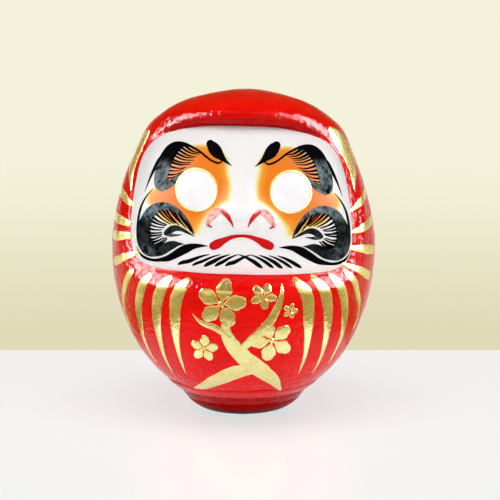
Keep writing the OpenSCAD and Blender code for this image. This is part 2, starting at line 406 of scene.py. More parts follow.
class Shape:
    """Vertices, faces and painting values of one piece while it is being made."""

    def __init__(self):
        self.points = []
        self.faces = []
        self.values = []
        self.count = 0

    def add(self, points, faces, values=None):
        points = np.asarray(points, float).reshape(-1, 3)
        values = np.zeros((len(points), 3)) if values is None else np.asarray(values, float).reshape(-1, 3)
        self.points.append(points)
        self.values.append(values)
        self.faces += [tuple(int(i) + self.count for i in f) for f in faces]
        self.count += len(points)

    def piece(self, name, slot, material, node=None, sharp=40):
        """Makes the Blender object, which stands for the CAD node of that name or of another one."""
        node = node or name
        mesh = bpy.data.meshes.new(name)
        mesh.from_pydata((np.concatenate(self.points) * MM).tolist(), [], self.faces)
        mesh.validate()
        mesh.shade_smooth()
        mesh.set_sharp_from_angle(angle=math.radians(sharp))
        paint = mesh.attributes.new("paint", "FLOAT_VECTOR", "POINT")
        paint.data.foreach_set("vector", np.concatenate(self.values).astype(np.float32).ravel())
        mesh.materials.append(material)
        piece = bpy.data.objects.new(name, mesh)
        bpy.context.scene.collection.objects.link(piece)
        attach(piece, "root")
        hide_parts(node)
        return piece


def grid_faces(rows, columns):
    """Quads between closed rows of points that lie one after the other."""
    faces = []
    for i in range(rows - 1):
        a, b = i * columns, (i + 1) * columns
        for j in range(columns):
            k = (j + 1) % columns
            faces.append((a + j, b + j, b + k, a + k))
    return faces


def tube_faces(rows, columns):
    """A tube with a flat face at each end."""
    first = tuple(range(columns))
    last = tuple(range((rows - 1) * columns, rows * columns))
    return grid_faces(rows, columns) + [first, last[::-1]]


def ring_faces(rows, columns):
    """A tube whose last row joins its first one."""
    last = (rows - 1) * columns
    joint = [(last + j, j, (j + 1) % columns, last + (j + 1) % columns) for j in range(columns)]
    return grid_faces(rows, columns) + joint


def skin_faces(rows, columns):
    """A tube with a fan about a tip at each end; the tips are the last two points."""
    last = (rows - 1) * columns
    tip = rows * columns
    start = [(tip, j, (j + 1) % columns) for j in range(columns)]
    end = [(last + (j + 1) % columns, last + j, tip + 1) for j in range(columns)]
    return grid_faces(rows, columns) + start + end


# Turns round the rounded end of a broad or a thin stroke, and places across strokes and bands
END_TURNS = np.radians([18, 36, 52, 66, 78, 86])
SMALL_END_TURNS = np.radians([60])
BROAD_ACROSS = np.array([-1, -0.9, -0.6, -0.2, 0.2, 0.6, 0.9, 1])
NARROW_ACROSS = np.array([-1, -0.6, 0, 0.6, 1])
BAND_SHARES = np.array([0, 0.04, 0.15, 0.32, 0.5, 0.68, 0.85, 0.96, 1])
# Least half width of a stroke and of its tips; strokes under the full half width are laid thinner
LEAST_HALF = 0.06
LEAST_TIP = 0.04
FULL_HALF = 0.5
THINNEST = 0.45
# How far the closed coats of paint reach below the surface they lie on
SUNK = -0.2
PATCH_SUNK = -0.25


def laid(place, flat, lift):
    """Flat points of (x, z) put in their places, a lift above the surface."""
    return place(flat[..., 0], flat[..., 1], lift)


def rows_of_paint(place, flat, lift, picked):
    """Points of a coat over flat rows of points, followed in each row by the points of its underside."""
    under = laid(place, flat[:, picked], SUNK)
    return np.concatenate([laid(place, flat, lift), under], axis=1)


def dome(across, edge=0.45):
    """Thickness of paint across a stroke, from -1 to 1, as a share of the thickness in its middle."""
    return edge + (1 - edge) * np.sqrt(np.clip(1 - across ** 2, 0, 1))


def two_noises(at, size, seed):
    """Noise for the two edges of a stroke."""
    return np.stack([line_noise(at, size, seed), line_noise(at, size, seed + 1)], axis=1)


def round_end(centre, way, half, index):
    """Middle line, directions and half widths of the rounded start (0) or end (-1) of a stroke."""
    turn = END_TURNS if half[index] > 0.25 else SMALL_END_TURNS
    outward = 1
    if index == 0:
        turn, outward = turn[::-1], -1
    tip = centre[index] + outward * np.sin(turn)[:, None] * half[index] * way[index]
    return tip, np.repeat(way[index][None], len(turn), axis=0), np.cos(turn) * half[index]


def lay_stroke(shape, line, place, lift=0.3, seed=0, mark=0.0, wobble=0.04):
    """A closed, slightly domed coat of paint along a line of (x, z, half width)."""
    line = even(line, min(0.6, max(0.35, line[:, 2].max() * 0.4)))
    centre = line[:, :2]
    way = np.gradient(centre, axis=0)
    way /= np.linalg.norm(way, axis=1, keepdims=True) + 1e-9
    half = np.maximum(line[:, 2], LEAST_HALF)
    start, end = (round_end(centre, way, half, index) for index in (0, -1))
    centre, way, half = (np.concatenate(parts) for parts in zip(start, (centre, way, half), end))
    half = np.maximum(half, LEAST_TIP)
    run = distance_along(centre)
    side = np.stack([-way[:, 1], way[:, 0]], axis=1)
    across = BROAD_ACROSS if half.max() > 1.0 else NARROW_ACROSS
    edges = two_noises(run, 2.4, seed + 11)
    grow = 1 + wobble * np.where(across[None] < 0, edges[:, :1], edges[:, 1:])
    flat = centre[:, None] + side[:, None] * (across[None] * half[:, None] * grow)[..., None]
    thin = np.clip(half / FULL_HALF, THINNEST, 1)[:, None]
    picked = [len(across) - 1, (len(across) - 1) // 2, 0]
    ring = rows_of_paint(place, flat, lift * dome(across)[None] * thin, picked)
    count, sides = ring.shape[:2]
    spread = np.concatenate([across, across[picked]])
    values = np.stack([
        np.repeat(run[:, None], sides, axis=1),
        spread[None] * half[:, None],
        np.full((count, sides), mark)
    ], axis=-1)
    shape.add(ring, tube_faces(count, sides), values)


def lay_band(shape, pairs, place, lift=0.3, seed=0, shade=None, wobble=0.02):
    """A closed coat of paint between two edges, given as pairs of points along it."""
    pairs = spline(pairs, 6)
    run = distance_along(pairs) / 1.4
    at = np.linspace(0, run[-1], max(int(run[-1] / 0.55), 6))
    pairs = resample(pairs, run, at)
    a, b = pairs[:, :2], pairs[:, 2:]
    wide = np.linalg.norm(b - a, axis=1)
    shake = wobble * two_noises(at, 2.6, seed + 21)
    share = BAND_SHARES[None] + np.where(BAND_SHARES[None] < 0.5, shake[:, :1], shake[:, 1:])
    flat = a[:, None] + (b - a)[:, None] * share[..., None]
    picked = [8, 4, 0]
    thin = np.clip(wide, THINNEST, 1)[:, None]
    ring = rows_of_paint(place, flat, lift * dome(2 * share - 1) * thin, picked)
    count, sides = ring.shape[:2]
    both = np.concatenate([flat, flat[:, picked]], axis=1)
    # Grey of the ink: partly thinned ink, partly painted sheen
    grey_and_sheen = np.zeros((count, sides)) if shade is None else shade(np.abs(both[..., 0]), both[..., 1])
    values = np.stack([np.repeat(at[:, None], sides, axis=1), 0 * grey_and_sheen, grey_and_sheen], axis=-1)
    faces = tube_faces(count, sides)
    middle = len(a) // 2
    over = b[middle] - a[middle]
    along = a[middle + 1] - a[middle]
    if along[0] * over[1] - along[1] * over[0] < 0:
        faces = [f[::-1] for f in faces]
    shape.add(ring, faces, values)


def lay_patch(shape, edge, middle, place, rings, lift=0.3, values=None, power=14):
    """A closed coat of paint inside a closed outline, as rings of points from its middle outwards."""
    middle = np.asarray(middle, float)
    s = np.linspace(0, 1, rings + 1)[1:] ** 0.9
    s[-1] = 1.0
    flat = middle + (edge - middle)[None] * s[:, None, None]
    top = laid(place, flat, (lift * (0.35 + 0.65 * (1 - s ** power)))[:, None])
    bottom = laid(place, flat[::-1], PATCH_SUNK)
    tips = laid(place, np.stack([middle, middle]), np.array([lift, PATCH_SUNK]))
    paint = None
    if values is not None:
        whole = np.concatenate([flat.reshape(-1, 2), flat[::-1].reshape(-1, 2), [middle], [middle]])
        paint = values(whole[:, 0], whole[:, 1])
    points = np.concatenate([top.reshape(-1, 3), bottom.reshape(-1, 3), tips])
    shape.add(points, skin_faces(2 * rings, len(edge)), paint)


def lay_ring(shape, line, half, place, lift):
    """A closed ring of paint along a closed line."""
    way = np.roll(line, -1, axis=0) - np.roll(line, 1, axis=0)
    way /= np.linalg.norm(way, axis=1, keepdims=True)
    side = np.stack([-way[:, 1], way[:, 0]], axis=1)
    across = NARROW_ACROSS
    flat = line[:, None] + side[:, None] * (across[None] * half[:, None])[..., None]
    ring = rows_of_paint(place, flat, lift * dome(across, 0.75)[None], [4, 0])
    count, sides = ring.shape[:2]
    values = np.stack([
        np.repeat(np.arange(count)[:, None] * 0.5, sides, axis=1),
        np.tile(np.concatenate([across, [1, -1]]), (count, 1)),
        np.full((count, sides), 0.4)
    ], axis=-1)
    shape.add(ring, ring_faces(count, sides), values)


def first_value(amount):
    """Painting values with an amount in the first place and nothing in the others."""
    return np.stack([amount, 0 * amount, 0 * amount], axis=-1)


# ---- materials

class Nodes:
    """Short calls for the nodes of a tree."""

    def __init__(self, tree):
        self.tree = tree

    def node(self, kind, **settings):
        node = self.tree.nodes.new(kind)
        for key, value in settings.items():
            setattr(node, key, value)
        return node

    def feed(self, socket, value):
        """Links another node's socket, or sets a number or a colour."""
        if isinstance(value, bpy.types.NodeSocket):
            self.tree.links.new(value, socket)
        else:
            socket.default_value = (*value, 1) if isinstance(value, tuple) else value

    def maths(self, kind, *values):
        node = self.node("ShaderNodeMath", operation=kind)
        for socket, value in zip(node.inputs, values):
            self.feed(socket, value)
        return node.outputs[0]

    def parts(self, vector):
        node = self.node("ShaderNodeSeparateXYZ")
        self.feed(node.inputs[0], vector)
        return node.outputs

    def blend(self, share, a, b, kind="MIX"):
        node = self.node("ShaderNodeMix", data_type="RGBA", blend_type=kind)
        for index, value in ((0, share), (6, a), (7, b)):
            self.feed(node.inputs[index], value)
        return node.outputs[2]

    def rise(self, value, start, end):
        """Goes smoothly from 0 to 1 while a value goes from the start to the end."""
        node = self.node("ShaderNodeMapRange", interpolation_type="SMOOTHSTEP")
        for key, source in (("Value", value), ("From Min", start), ("From Max", end)):
            self.feed(node.inputs[key], source)
        return node.outputs[0]


class Paint(Nodes):
    """A node material with its coordinates, its painting values and more short calls."""

    def __init__(self, name, **settings):
        self.material = bpy.data.materials.new(name)
        self.material.use_nodes = True
        super().__init__(self.material.node_tree)
        self.shader = self.tree.nodes["Principled BSDF"]
        for key, value in settings.items():
            self.shader.inputs[key.replace("_", " ")].default_value = value
        self.place = self.node("ShaderNodeTexCoord").outputs["Object"]
        self.paint = self.node("ShaderNodeAttribute", attribute_name="paint").outputs["Vector"]

    def grain(self, size, detail=3.0, rough=0.55, kind="FBM", where=None, twist=0.0):
        """Noise whose cells are about a size, in metres for object places."""
        node = self.node("ShaderNodeTexNoise", noise_type=kind)
        self.feed(node.inputs["Vector"], self.place if where is None else where)
        node.inputs["Scale"].default_value = 1 / size
        node.inputs["Detail"].default_value = detail
        node.inputs["Roughness"].default_value = rough
        node.inputs["Distortion"].default_value = twist
        return node.outputs[0]

    def ramp(self, value, stops, ease="LINEAR"):
        """Numbers or colours that follow a value, from stops of (value, number or colour)."""
        node = self.node("ShaderNodeValToRGB")
        self.feed(node.inputs[0], value)
        node.color_ramp.interpolation = ease
        marks = node.color_ramp.elements
        while len(marks) < len(stops):
            marks.new(0.5)
        for mark, (at, colour) in zip(marks, stops):
            mark.position = at
            mark.color = (*colour, 1) if isinstance(colour, tuple) else (colour, colour, colour, 1)
        return node.outputs[0]

    def mottle(self, grain, a, b, low=0.3, high=0.7):
        """Goes from a to b with a grain."""
        return self.ramp(grain, ((low, a), (high, b)))

    def bump(self, height, depth, below=None):
        """A bumpy normal, on top of another one if that is given."""
        node = self.node("ShaderNodeBump")
        self.feed(node.inputs["Height"], height)
        node.inputs["Distance"].default_value = depth
        if below is not None:
            self.feed(node.inputs["Normal"], below)
        return node.outputs[0]

    def finish(self, colour, rough, normal=None):
        self.feed(self.shader.inputs["Base Color"], colour)
        self.feed(self.shader.inputs["Roughness"], rough)
        if normal is not None:
            self.feed(self.shader.inputs["Normal"], normal)
        return self.material


def lacquer_bump(p, strength=1.0):
    """Paper fibres and wrinkles that show through thin lacquer."""
    folds = p.grain(0.0034, 3, 0.6, kind="RIDGED_MULTIFRACTAL", twist=0.5)
    dents = p.grain(0.0021, 2, 0.5)
    pores = p.grain(0.0008, 2, 0.6)
    normal = p.bump(folds, 0.0001 * strength)
    normal = p.bump(dents, 0.00055 * strength, normal)
    return p.bump(pores, 0.00007 * strength, normal)


def red_lacquer():
    """Thin glossy red, darkened by painted shade in the fold of the hood over the face and under the ledge.
    """
    p = Paint("red_lacquer", Specular_IOR_Level=0.16)
    red = p.mottle(p.grain(0.012, 3, 0.5), (0.72, 0.0, 0.0), (0.86, 0.003, 0.001))
    # The first painting value darkens the red: painted shade in the hood's fold and under the ledge
    painted_shade = p.maths("MULTIPLY", p.parts(p.paint)[0], 0.75)
    rough = p.mottle(p.grain(0.0045, 4, 0.6), 0.085, 0.17, low=0.35)
    return p.finish(p.blend(painted_shade, red, (0.30, 0.0, 0.0)), rough, lacquer_bump(p))


def base_paint():
    """Red lacquer, painted darker than the body's as shade under the ledge and nearly black towards the foot
    as a painted contact shadow; it stops there: the underside is bare clay.
    """
    p = Paint("red_and_bare_clay", Specular_IOR_Level=0.01)
    height = p.parts(p.place)[2]
    ragged = p.maths("MULTIPLY", p.grain(0.004), 0.00012)
    level = p.maths("MULTIPLY", p.maths("SUBTRACT", height, ragged), 1000.0)
    bare = p.mottle(level, 1.0, 0.0, 0.0, 0.05)
    clay = p.mottle(p.grain(0.0013, 4, 0.65), (0.33, 0.22, 0.14), (0.5, 0.36, 0.24))
    # A darker red than the body's lacquer: painted shade under the ledge
    red = p.mottle(p.grain(0.01), (0.31, 0.0004, 0.0004), (0.39, 0.001, 0.001))
    # Painted contact shadow: the red darkens to nearly black in the last millimetres above the foot
    low = p.maths("MULTIPLY", height, 100.0)
    low = p.ramp(low, ((0.1, 0.003), (0.17, 0.03), (0.28, 0.4), (0.45, 1.0)), "EASE")
    colour = p.blend(bare, p.blend(1.0, red, low, "MULTIPLY"), clay)
    rough = p.blend(bare, (0.26,) * 3, (0.85,) * 3)
    return p.finish(colour, rough, lacquer_bump(p, 0.7))


def face_white():
    """White under the orange blush, with painted light towards the chin and painted shade towards the brow
    under the hood.
    """
    p = Paint("face_white", Specular_IOR_Level=0.06)
    cloud = p.maths("MULTIPLY_ADD", p.grain(0.0035), 0.14, -0.07)
    blush = p.maths("ADD", p.parts(p.paint)[0], cloud)
    # Painted light and shade by height: whiter low at the chin, greyer up at the brow
    high = p.maths("MULTIPLY", p.parts(p.place)[2], 1 / (DRAWN_HEIGHT * MM))
    white = p.ramp(high, (
        (0.49, (0.97, 0.965, 0.965)), (0.57, (0.91, 0.90, 0.895)), (0.66, (0.90, 0.885, 0.88)),
        (0.75, (0.81, 0.80, 0.79)), (0.88, (0.77, 0.76, 0.755))
    ))
    white = p.blend(1.0, white, p.mottle(p.grain(0.014), 0.96, 1.0), "MULTIPLY")
    tint = p.ramp(blush, (
        (0.12, (1.0, 1.0, 1.0)), (0.24, (1.0, 0.92, 0.50)), (0.34, (1.0, 0.66, 0.16)),
        (0.5, (1.0, 0.36, 0.03)), (1.0, (1.0, 0.25, 0.012))
    ), "EASE")
    rough = p.mottle(p.grain(0.005, 2), 0.34, 0.46)
    return p.finish(p.blend(1.0, white, tint, "MULTIPLY"), rough, p.bump(p.grain(0.0024), 0.00006))


def eye_white():
    p = Paint("eye_white", Specular_IOR_Level=0.06)
    colour = p.mottle(p.grain(0.006), (0.86, 0.84, 0.86), (0.92, 0.90, 0.91))
    rough = p.mottle(p.grain(0.004, 2), 0.3, 0.4)
    return p.finish(colour, rough, p.bump(p.grain(0.002), 0.00005))


def black_ink():
    """Black that turns a mottled grey where the painting values ask: partly thinned ink, partly painted
    sheen of the side light on the lower brow and the top of the whisker.
    """
    p = Paint("black_ink", Specular_IOR_Level=0.0)
    cloud = p.mottle(p.grain(0.0032, 4, 0.6, twist=0.6), 0.0, 1.0, 0.36, 0.62)
    # The grey stands partly for thinned ink and partly for painted sheen
    thin = p.maths("MULTIPLY", p.parts(p.paint)[2], cloud)
    colour = p.blend(thin, (0.003, 0.003, 0.004), (0.24, 0.31, 0.33))
    rough = p.mottle(p.grain(0.002), 0.28, 0.45)
    return p.finish(colour, rough, p.bump(p.grain(0.0016), 0.00006))


def red_ink():
    """Red that thins to a mottled pink."""
    p = Paint("red_ink", Specular_IOR_Level=0.05)
    cloud = p.mottle(p.grain(0.0022), 0.4, 1.0, 0.36, 0.56)
    pale = p.maths("MULTIPLY", p.parts(p.paint)[2], cloud)
    red = p.mottle(p.grain(0.003), (0.52, 0.003, 0.005), (0.68, 0.006, 0.008))
    rough = p.mottle(p.grain(0.002), 0.32, 0.5)
    return p.finish(p.blend(pale, red, (0.93, 0.50, 0.47)), rough, p.bump(p.grain(0.0015), 0.00005))


def gold_paint():
    """Brushed-on gold with darker, rougher streaks along each stroke."""
    p = Paint("gold_paint", Metallic=1.0)
    stroke = p.node("ShaderNodeCombineXYZ")
    for socket, value, often in zip(stroke.inputs, p.parts(p.paint), (0.16, 2.6, 40.0)):
        p.feed(socket, p.maths("MULTIPLY", value, often))
    streaks = p.grain(1.0, 3, 0.6, where=stroke.outputs[0])
    flakes = p.grain(0.0007, 2, 0.7)
    base = p.ramp(p.grain(0.006, 4, 0.6), (
        (0.25, (0.86, 0.74, 0.22)), (0.5, (0.94, 0.88, 0.40)), (0.8, (0.98, 0.95, 0.56))
    ))
    colour = p.blend(p.mottle(streaks, 0.0, 0.5, 0.42, 0.75), base, (0.80, 0.62, 0.18))
    rough = p.maths("ADD", p.mottle(streaks, 0.17, 0.26, high=0.75), p.mottle(flakes, 0.0, 0.08))
    normal = p.bump(streaks, 0.00005)
    normal = p.bump(p.grain(0.0021, 2, 0.5), 0.00016, normal)
    return p.finish(colour, rough, p.bump(flakes, 0.000006, normal))


def rim_paint():
    """Thin pale gold line round the eyes."""
    p = Paint("rim_gold", Metallic=0.15, Specular_IOR_Level=0.2)
    colour = p.mottle(p.grain(0.0016), (0.66, 0.52, 0.16), (0.84, 0.78, 0.42))
    return p.finish(colour, p.mottle(p.grain(0.001, 2), 0.35, 0.5))


# ---- paper shell, base and strips

RED = red_lacquer()
GOLD = gold_paint()
INK = black_ink()
RED_INK = red_ink()


# Heights between which the shell has close rows of points, round the face
CLOSE_ROWS = (60.0, 141.0)


def shell_columns():
    """Azimuths of the columns of points: close together in front, wider apart behind."""
    close = np.arange(-70.2, 70.21, 0.6)
    wide = np.arange(71.7, 288.4, 1.5)
    return np.radians(np.concatenate([close, wide]))


def shell_rows(close, wide):
    """Distances down the side view of the rows of points."""
    rows = [close]
    while rows[-1] < RUN[-1]:
        z = np.interp(rows[-1], RUN, PATH_Z)
        rows.append(rows[-1] + (close if CLOSE_ROWS[0] < z < CLOSE_ROWS[1] else wide))
    rows[-1] = RUN[-1]
    if rows[-1] - rows[-2] < 0.3 * wide:
        rows.pop(-2)
    return np.array(rows)


def shell_surface(rows, columns, inset):
    """Points of the outer surface, or of the inner one, an inset inside it."""
    r, z, lean = (np.interp(rows, RUN, path)[:, None] + 0 * columns for path in (PATH_R, PATH_Z, PATH_LEAN))
    azimuth = (columns[None] + 0 * r + math.pi) % (2 * math.pi) - math.pi
    top = smooth_step((z - 136) / 9)
    move = skin_radius(azimuth, r, z) - r - inset
    return about_axis(azimuth, r + move * (1 - top + top * np.sin(lean)), z + move * top * np.cos(lean))


# Painted shade in the fold of the hood: this near the face, above this height and within this far of the
# middle
FOLD_SHADE_WIDE = 9.5
FOLD_SHADE_Z = 126.0
FOLD_SHADE_HALF = 46.0


def painted_fold_shade(points):
    """How much painted shade darkens the red in the fold of the hood over the face, where the roll turns
    away from the light.
    """
    x, z = points[..., 0], points[..., 2]
    gap = np.where(points[..., 1] < 0, face_gap(x, z), FAR_OUTSIDE)
    near = smooth_step(1 - gap / FOLD_SHADE_WIDE)
    return near * smooth_step((z - FOLD_SHADE_Z) / 4) * smooth_step((FOLD_SHADE_HALF - np.abs(x)) / 16)


def paper_shell():
    columns = shell_columns()
    n = len(columns)
    outer = shell_surface(shell_rows(0.78, 1.4), columns, 0)
    inner = shell_surface(shell_rows(4.0, 6.0), columns, WALL)[::-1]
    inner[0, :, 2] = LEDGE_Z
    poles = [[0, 0, outer[0, :, 2].mean() + 0.02], [0, 0, inner[-1, :, 2].mean() + 0.1]]
    rows = len(outer) + len(inner)
    # Painted shade in the hood's fold, on the outer surface only
    painted_shade = np.zeros((rows * n + 2, 3))
    painted_shade[:len(outer) * n, 0] = painted_fold_shade(outer).ravel()
    points = np.concatenate([outer.reshape(-1, 3), inner.reshape(-1, 3), poles])
    shape = Shape()
    shape.add(points, skin_faces(rows, n), painted_shade)
    shape.piece("shell", "red_lacquered_paper", RED, "paper_shell", sharp=60)


def lathe(shape, outline, columns, seed, shake):
    """A closed ring turned about the axis from an outline of (r, z, share of the shake)."""
    outline = np.asarray(outline, float)
    azimuth = np.linspace(0, 2 * math.pi, columns, endpoint=False)
    r, z, amount = (outline[:, k:k + 1] + 0 * azimuth for k in range(3))
    amount = amount * shake
    at = about_axis(azimuth, r, z).reshape(-1, 3)
    r = r + amount * (noise(at, 9.0, seed) + 0.4 * noise(at, 3.0, seed + 1)).reshape(r.shape)
    z = z + amount * (0.8 * noise(at, 6.0, seed + 2)).reshape(r.shape)
    # Below the ledge the first painting value darkens red lacquer: painted shade under the ledge
    painted_shade = smooth_step(LEDGE_Z + 0.1 - z)
    shape.add(about_axis(azimuth, r, z), ring_faces(len(outline), columns), first_value(painted_shade))


FOOT_R = 13.8
BOWL_R = 16.6
BOWL_TURN = math.acos(1 - LEDGE_Z / BOWL_R)
STICK_R = 4.0
SPIGOT_TOP = 18.0


def bowl_point(share, out=0.0):
    a = BOWL_TURN * share
    return FOOT_R + (BOWL_R + out) * math.sin(a), BOWL_R - (BOWL_R + out) * math.cos(a)


def base_weight():
    """The clay bowl with its spigot, and the hole of the stick it was dipped on."""
    spigot_r = LEDGE_R - WALL / math.sin(PATH_LEAN[-1]) - 0.5
    spigot = [(spigot_r - 1, SPIGOT_TOP, 0), (spigot_r, SPIGOT_TOP - 1, 0), (spigot_r, LEDGE_Z + 0.3, 0)]
    bowl = [(*bowl_point(1 - k / 14), 0.16) for k in range(15)]
    bowl[0] = (bowl[0][0], LEDGE_Z, 0)
    bowl[-1] = (FOOT_R, 0, 0)
    foot = [(8.5, 0, 0), (STICK_R + 0.8, 0, 0), (STICK_R + 0.2, 0.3, 0), (STICK_R, 1, 0)]
    hole = [(STICK_R, 9, 0), (STICK_R, SPIGOT_TOP - 0.4, 0), (STICK_R + 0.4, SPIGOT_TOP, 0)]
    shape = Shape()
    lathe(shape, spigot + bowl + foot + hole, 220, 31, 1.0)
    shape.piece("clay_base", "painted_clay", base_paint(), "base_weight")


def ledge_strip():
    """Paper pasted round the joint: it stands out as a small ledge over the base."""
    thick = 0.42
    rows = np.linspace(RUN[-1] - 6.4, RUN[-1] - 0.2, 8)
    r = np.interp(rows, RUN, PATH_R)
    z = np.interp(rows, RUN, PATH_Z)
    lean = PATH_LEAN[-1]
    lifts = (0.0, 0.26, 0.38, thick, thick, thick, thick + 0.1, thick + 0.15)
    shakes = (0.3, 0.3, 0.3, 0.4, 0.4, 0.4, 0.5, 0.5)
    out = [(a + t * math.sin(lean), b + t * math.cos(lean), w) for a, b, t, w in zip(r, z, lifts, shakes)]
    lip = [(LEDGE_R + thick, LEDGE_Z + 0.1, 0.55), (LEDGE_R + 0.2, LEDGE_Z - 0.3, 0.55)]
    lip.append((LEDGE_R - 0.5, LEDGE_Z - 0.5, 0.4))
    under = [(*bowl_point(share, lift), shake) for share, lift, shake in (
        (0.97, 0.3, 0.2), (0.9, 0.25, 0.2), (0.82, 0.15, 0.2),
        (0.77, 0.02, 0.1), (0.79, -0.6, 0), (0.92, -0.8, 0)
    )]
    back = [(LEDGE_R - 3, LEDGE_Z + 0.5, 0), (r[5] - 0.9, z[5], 0), (r[1] - 0.8, z[1], 0)]
    shape = Shape()
    lathe(shape, out + lip + under + back, 300, 41, 0.45)
    shape.piece("ledge_strip", "red_lacquered_paper", RED, "base_seam_strip")


def torn_edge(z, seed):
    return 0.28 * (line_noise(z, 5, seed) + 0.5 * line_noise(z, 1.6, seed + 1))


def back_strip():
    """The strip of paper down the back that closes the slit, with a torn edge and its own wrinkles."""
    low, high, half = 18.4, 137.6, 6.55
    z = np.arange(low, high, 0.8)[:, None]
    share = np.concatenate([[-1, -0.97, -0.9], np.linspace(-0.8, 0.8, 13), [0.9, 0.97, 1]])[None]
    left, right = (half + torn_edge(z[:, 0], seed)[:, None] for seed in (51, 53))
    x = share * np.where(share < 0, left, right)
    ends = smooth_step((z - high + 2) / 2) - smooth_step((low + 2 - z) / 2)
    z = z + 0.5 * line_noise(x.ravel() + 40, 2.2, 55).reshape(x.shape) * ends
    azimuth = math.pi + x / body_radius(z)
    at = np.stack([x.ravel(), 0 * x.ravel(), z.ravel()], axis=1)
    crease = 0.12 * noise(at * (1, 1, 0.5), 2.6, 56).reshape(x.shape)
    thin = np.minimum(smooth_step(z - low), smooth_step(high - z))
    rise = (0.33 + np.maximum(crease, -0.1)) * np.clip((1 - np.abs(share)) * 12 + 0.3, 0, 1)
    top = on_skin(azimuth, z, rise * (0.4 + 0.6 * thin))
    under = on_skin(azimuth[:, ::-1], z[:, ::-1], -0.3)[:, [0, 9, 18]]
    ring = np.concatenate([top, under], axis=1)
    shape = Shape()
    shape.add(ring, tube_faces(*ring.shape[:2]))
    shape.piece("back_strip", "red_lacquered_paper", RED, "back_seam_strip")


# ---- the painted face

# Orange blush round each eye: ovals as (x, z, half width, half height)
BLUSH = (
    (20.9, 106.9, 15.4, 14.0), (34.5, 101.0, 7.0, 4.6), (17.8, 117.0, 10.6, 7.2), (20.6, 93.6, 6.8, 6.6),
    (29.5, 95.0, 7.0, 4.4)
)
NOSE_WHITE = (0, 86, 17.2, 16)
BLUSH_JOIN = 1.1


def past_oval(x, z, at_x, at_z, wide, tall):
    """About how far a point is outside an oval."""
    return (np.hypot((x - at_x) / wide, (z - at_z) / tall) - 1) * min(wide, tall)


def blush_amount(x, z):
    """How strong the blush is at a point of the face: 0 outside it, 1 well inside."""
    z = z - FACE_TILT * x
    x = np.abs(x)
    inside = np.full(x.shape, -9.0)
    for oval in BLUSH:
        inside = np.logaddexp(inside * BLUSH_JOIN, -past_oval(x, z, *oval) * BLUSH_JOIN) / BLUSH_JOIN
    inside = np.minimum(inside, past_oval(x, z, *NOSE_WHITE) - 1.2)
    edge = 2.6 + 1.0 * smooth_step((12 - x) / 6) + 3.0 * smooth_step((97 - z) / 7)
    return np.clip(0.08 + 0.55 * (inside + 1.4) / edge, 0, 1)


def face_coat():
    shape = Shape()
    just_inside = 0.997
    edge = spline(OUTLINE[::2], 2, closed=True)
    edge = FACE_MIDDLE + (edge - FACE_MIDDLE) * just_inside

    def values(x, z):
        return first_value(blush_amount(x, z))

    lay_patch(shape, edge[::-1], FACE_MIDDLE, on_face, 64, lift=COAT, values=values, power=40)
    shape.piece("face_coat", "face_paint", face_white(), sharp=70)


def ring_of(middle, radius, count, seed):
    """A slightly uneven circle."""
    a = np.linspace(0, 2 * math.pi, count, endpoint=False)
    around = np.stack([np.cos(a), np.sin(a), 0 * a], axis=1)
    r = radius * (1 + 0.012 * noise(around * 2, 1.0, seed))
    return np.stack([middle[0] + r * np.cos(a), middle[1] + r * np.sin(a)], axis=1)


def eye(word, side):
    middle = (side * EYE_X, EYE_Z + FACE_TILT * side * EYE_X)
    disc = Shape()
    edge = ring_of(middle, EYE_R, 96, 60 + side)[::-1]
    lay_patch(disc, edge, middle, on_coat, 12, lift=0.26, power=10)
    disc.piece("eye_disc_" + word, "eye_paint", EYE)
    rim = Shape()
    count = 120
    a = np.linspace(0, 2 * math.pi, count, endpoint=False)
    half = 0.42 + 0.12 * np.sin(a + 0.7) + 0.1 * line_noise(np.arange(count), 9, 64 + side)
    lay_ring(rim, ring_of(middle, EYE_R + 0.32, count, 60 + side), half, on_coat, 0.3)
    rim.piece("eye_rim_" + word, "gold_paint", RIM)


def face_line(points, side):
    """A stroke on the face, drawn for the right-hand side and turned to the side asked for."""
    return on_tilt(spline(points) * (side, 1, 1))


def face_stroke(shape, points, side, lift, seed, mark=0.0):
    lay_stroke(shape, face_line(points, side), on_coat, lift, seed, mark)


def face_pairs(pairs, side):
    p = on_tilt(np.asarray(pairs, float) * (side, 1, side, 1))
    p[:, 3] += FACE_TILT * p[:, 2]
    return p


def point_at(line, share):
    last = len(line) - 1
    return line[min(int(share * last), last)]


def comb(shape, roots, tips, count, side, seed, first_half, last_half, tip_half=0.12, bow=0.4):
    """Brush hairs from points along one curve to points along another."""
    roots = spline(roots, 12)
    tips = spline(tips, 12)
    random = np.random.default_rng(seed)
    for i in range(count):
        t = (i + 0.25 * random.random()) / (count - 1)
        a = point_at(roots, t)
        b = point_at(tips, t) + random.normal(0, 0.25, 2)
        middle = (a + b) / 2 + np.array([-(b - a)[1], (b - a)[0]]) * 0.12 * bow
        wide = (first_half + (last_half - first_half) * t) * (0.85 + 0.3 * random.random())
        line = [(*a, wide), (*middle, wide * 0.62), (*b, tip_half)]
        face_stroke(shape, line, side, 0.22 + 0.015 * (i % 3), seed * 50 + i)


